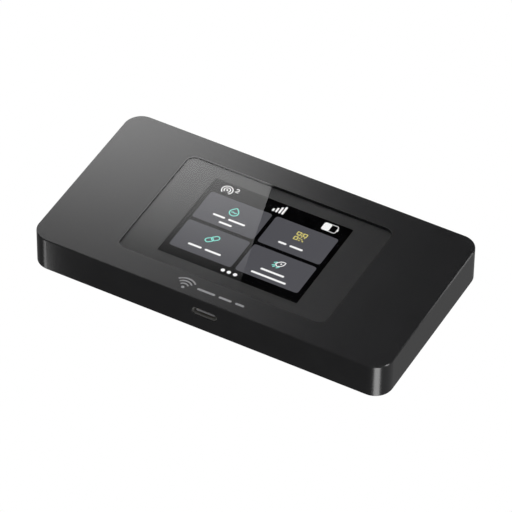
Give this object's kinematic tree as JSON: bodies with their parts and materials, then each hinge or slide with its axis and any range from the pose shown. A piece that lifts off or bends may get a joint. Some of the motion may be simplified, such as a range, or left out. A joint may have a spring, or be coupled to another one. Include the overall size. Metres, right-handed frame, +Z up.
{
  "type": "mobile hotspot",
  "caption": "Pocket mobile hotspot: flat black slab with round corners, a recessed touch display, a charging port, a SIM tray and a side power button.",
  "frame": {"origin": "centre of the flat underside", "axes": "+X along the long side to the user's right, +Y to the back, +Z up through the display"},
  "size_m": [0.1304, 0.0688, 0.013],
  "materials": {
    "case_plastic": "fine satin moulding, black",
    "button_plastic": "satin moulding, black",
    "tray_plastic": "satin moulding, black",
    "lens_glass": "polished, clear",
    "lens_print": "dark grey ink on clear film",
    "tape": "black foam adhesive",
    "display_black": "laminated display, black",
    "white_plastic": "diffuser sheets",
    "sheet_steel": "tinned sheet",
    "port_steel": "drawn stainless tube",
    "polyimide": "amber film over copper",
    "connector_plastic": "moulded black",
    "chip_resin": "moulded resin",
    "thermal_pad": "soft silicone",
    "graphite": "graphite sheet",
    "circuit_board": "solder mask",
    "frame_plastic": "glass-filled moulding",
    "battery_foil": "pouch laminate",
    "screw_steel": "blackened",
    "insert_brass": "knurled brass",
    "gold_plate": "gold plated",
    "antenna_copper": "copper film",
    "card_plastic": "plain card",
    "label_film": "printed film"
  },
  "bodies": {
    "case": {"antenna_contacts": "gold_plate", "backlight": "white_plastic", "battery_cell": "battery_foil", "battery_connector": "connector_plastic", "battery_flex": "polyimide", "battery_tape": "tape", "board_screws": "screw_steel", "button_board": "circuit_board", "button_flex": "polyimide", "cover_glass": "lens_glass", "decor_film": "lens_print", "display_connector": "connector_plastic", "display_flex": "polyimide", "display_frame": "sheet_steel", "glass_tape": "tape", "heat_spreader": "graphite", "housing_screws": "screw_steel", "lcd_panel": "display_black", "left_carrier": "frame_plastic", "main_antenna": "antenna_copper", "main_board": "circuit_board", "mid_frame": "frame_plastic", "modem_can": "sheet_steel", "modem_chip": "chip_resin", "modem_pad": "thermal_pad", "power_can": "sheet_steel", "power_chip": "chip_resin", "power_switch": "connector_plastic", "rear_cover": "case_plastic", "rear_label": "label_film", "reset_switch": "connector_plastic", "right_carrier": "frame_plastic", "second_antenna": "antenna_copper", "sim_base": "connector_plastic", "sim_contacts": "gold_plate", "sim_shell": "sheet_steel", "threaded_inserts": "insert_brass", "touch_connector": "connector_plastic", "touch_flex": "polyimide", "touch_sensor": "display_black", "upper_housing": "case_plastic", "usb_c_contacts": "gold_plate", "usb_c_shell": "port_steel", "usb_c_tongue": "connector_plastic", "wifi_antennas": "antenna_copper", "wifi_can": "sheet_steel", "wifi_chip": "chip_resin"},
    "power_button": {"power_button": "button_plastic"},
    "power_plunger": {"power_plunger": "connector_plastic"},
    "reset_plunger": {"reset_plunger": "connector_plastic"},
    "sim_tray": {"sim_tray": "tray_plastic", "sim_card": "card_plastic"}
  },
  "joints": [
    {"name": "power_button_press", "type": "slide", "parent": "case", "child": "power_button", "axis": [1, 0, 0], "range_m": [0, 0.00035], "stiffness_N_per_m": 4000},
    {"name": "power_plunger_press", "type": "slide", "parent": "case", "child": "power_plunger", "axis": [1, 0, 0], "range_m": [0, 0.00035]},
    {"name": "reset_press", "type": "slide", "parent": "case", "child": "reset_plunger", "axis": [0, -1, 0], "range_m": [0, 0.00025], "stiffness_N_per_m": 4000},
    {"name": "sim_tray_slide", "type": "slide", "parent": "case", "child": "sim_tray", "axis": [0, 1, 0], "range_m": [0, 0.018]}
  ],
  "couplings": [
    {"joint": "power_plunger_press", "follows": "power_button_press", "ratio": 1}
  ]
}
